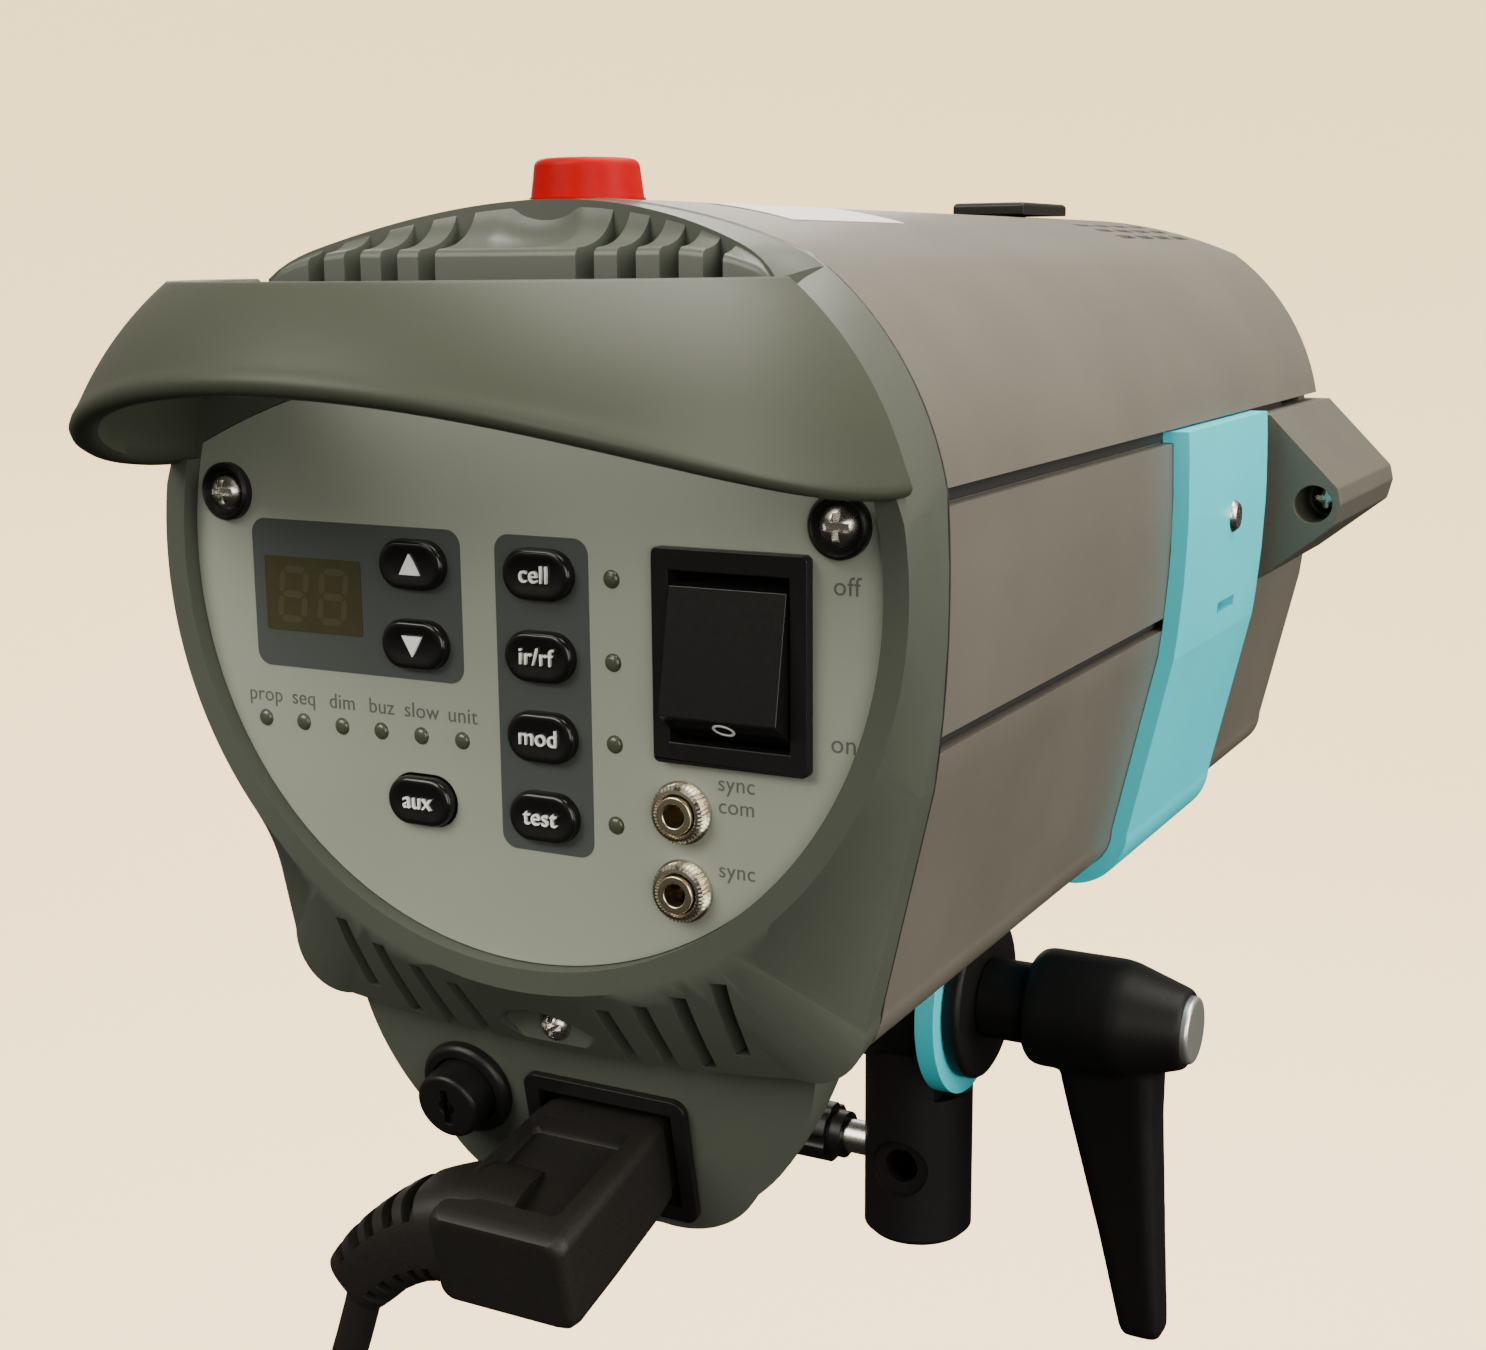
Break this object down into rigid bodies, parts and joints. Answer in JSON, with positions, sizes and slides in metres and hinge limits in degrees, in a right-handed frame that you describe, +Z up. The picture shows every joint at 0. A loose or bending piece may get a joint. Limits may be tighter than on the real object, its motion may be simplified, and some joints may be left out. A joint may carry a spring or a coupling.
{
  "type": "monolight strobe",
  "caption": "Studio flash head with rear control panel, carrying hood, tilting cradle, clamp lever and light-stand socket, with its mains lead coiled.",
  "frame": {"origin": "centre of the mouth of the stand socket, at the bottom of the stand head", "axes": "+Z up out of the stand, -Y towards the control panel, +Y the way the light leaves, +X to the right of someone facing the panel"},
  "size_m": [0.1666, 0.3593, 0.3608],
  "materials": {
    "body_paint": "fine textured satin",
    "cap_plastic": "satin moulded",
    "panel_film": "satin printed",
    "black_plastic": "satin",
    "gloss_black": "polished",
    "turquoise_paint": "satin",
    "black_metal": "satin",
    "zinc_steel": "bright",
    "nickel": "polished",
    "brass_pin": "turned",
    "silver_cap": "satin",
    "red_lens": "clear",
    "dark_lens": "clear",
    "led_lens": "diffused",
    "cast_alloy": "cast",
    "sheet_steel": "plated",
    "white_ceramic": "glazed",
    "clear_glass": "clear",
    "cord_pvc": "satin",
    "board_green": "laminate"
  },
  "bodies": {
    "stand_head": {"stand_socket": "black_metal", "pressure_disc": "black_metal"},
    "lamp_head": {"rear_housing": "cap_plastic", "hood_handle": "cap_plastic", "rear_vent_grille": "black_plastic", "photocell_dome": "red_lens", "control_panel": "panel_film", "panel_screws": "zinc_steel", "cup_washers": "black_plastic", "display_window": "dark_lens", "display_module": "gloss_black", "indicator_leds": "led_lens", "button_board": "board_green", "switch_frame": "black_plastic", "jack_sockets": "brass_pin", "jack_nuts": "nickel", "top_cover": "body_paint", "side_panel_left": "body_paint", "side_panel_right": "body_paint", "bottom_tray": "body_paint", "chassis_frame": "sheet_steel", "chin_housing": "cap_plastic", "mains_inlet": "black_plastic", "fuse_holder": "black_plastic", "mains_connector": "cord_pvc", "cord_strain_relief": "cord_pvc", "mains_cord": "cord_pvc", "cord_coil": "cord_pvc", "mains_plug": "cord_pvc", "plug_pins": "nickel", "cradle_strap": "turquoise_paint", "tilt_lug": "turquoise_paint", "cradle_screws": "zinc_steel", "front_frame": "cast_alloy", "ear_screws": "zinc_steel", "bayonet_ring": "sheet_steel", "lamp_base_plate": "sheet_steel", "lamp_holder": "white_ceramic", "modelling_lamp": "clear_glass", "flash_tube": "clear_glass", "glass_dome": "clear_glass", "fan_frame": "black_plastic", "power_supply": "board_green"},
    "clamp_shaft": {"clamp_bolt": "black_metal"},
    "lever": {"clamp_lever": "black_plastic", "lever_cap": "silver_cap"},
    "locking_screw": {"lock_screw": "zinc_steel", "lock_knob": "black_plastic"},
    "power_rocker": {"rocker": "gloss_black"},
    "fuse_carrier": {"fuse_cap": "black_plastic", "glass_fuse": "nickel"},
    "release_slider": {"reflector_release": "black_plastic"},
    "fan_wheel": {"fan_rotor": "black_plastic"},
    "up_key": {"up_button": "gloss_black"},
    "down_key": {"down_button": "gloss_black"},
    "aux_key": {"aux_button": "gloss_black"},
    "cell_key": {"cell_button": "gloss_black"},
    "remote_key": {"remote_button": "gloss_black"},
    "model_key": {"model_button": "gloss_black"},
    "test_key": {"test_button": "gloss_black"}
  },
  "joints": [
    {"name": "head_tilt", "type": "hinge", "parent": "stand_head", "child": "lamp_head", "pos_m": [0, 0, 0.06], "axis": [1, 0, 0], "range_deg": [-90, 75]},
    {"name": "clamp_turn", "type": "hinge", "parent": "stand_head", "child": "clamp_shaft", "pos_m": [0, 0, 0.06], "axis": [1, 0, 0], "range_deg": [0, 60]},
    {"name": "lever_lift", "type": "slide", "parent": "clamp_shaft", "child": "lever", "axis": [1, 0, 0], "range_m": [0, 0.004], "stiffness_N_per_m": 2000, "springref_m": -0.001},
    {"name": "lock_screw_travel", "type": "slide", "parent": "stand_head", "child": "locking_screw", "axis": [-1, 0, 0], "range_m": [0, 0.005]},
    {"name": "power_rock", "type": "hinge", "parent": "lamp_head", "child": "power_rocker", "pos_m": [0.03825, -0.1604, 0.169], "axis": [1, 0, 0], "range_deg": [0, 22]},
    {"name": "fuse_cap_turn", "type": "hinge", "parent": "lamp_head", "child": "fuse_carrier", "pos_m": [-0.0243, -0.14502, 0.085], "axis": [0, -0.9781, -0.2079], "range_deg": [0, 90]},
    {"name": "reflector_release_slide", "type": "slide", "parent": "lamp_head", "child": "release_slider", "axis": [0, -1, 0], "range_m": [0, 0.006], "stiffness_N_per_m": 400, "springref_m": -0.003},
    {"name": "fan_spin", "type": "hinge", "parent": "lamp_head", "child": "fan_wheel", "pos_m": [0, 0.011, 0.1778], "axis": [0, 1, 0], "continuous": true},
    {"name": "up_button_press", "type": "slide", "parent": "lamp_head", "child": "up_key", "axis": [0, 1, 0], "range_m": [0, 0.0008], "stiffness_N_per_m": 1200, "springref_m": -0.0005},
    {"name": "down_button_press", "type": "slide", "parent": "lamp_head", "child": "down_key", "axis": [0, 1, 0], "range_m": [0, 0.0008], "stiffness_N_per_m": 1200, "springref_m": -0.0005},
    {"name": "aux_button_press", "type": "slide", "parent": "lamp_head", "child": "aux_key", "axis": [0, 1, 0], "range_m": [0, 0.0008], "stiffness_N_per_m": 1200, "springref_m": -0.0005},
    {"name": "cell_button_press", "type": "slide", "parent": "lamp_head", "child": "cell_key", "axis": [0, 1, 0], "range_m": [0, 0.0008], "stiffness_N_per_m": 1200, "springref_m": -0.0005},
    {"name": "remote_button_press", "type": "slide", "parent": "lamp_head", "child": "remote_key", "axis": [0, 1, 0], "range_m": [0, 0.0008], "stiffness_N_per_m": 1200, "springref_m": -0.0005},
    {"name": "model_button_press", "type": "slide", "parent": "lamp_head", "child": "model_key", "axis": [0, 1, 0], "range_m": [0, 0.0008], "stiffness_N_per_m": 1200, "springref_m": -0.0005},
    {"name": "test_button_press", "type": "slide", "parent": "lamp_head", "child": "test_key", "axis": [0, 1, 0], "range_m": [0, 0.0008], "stiffness_N_per_m": 1200, "springref_m": -0.0005}
  ]
}
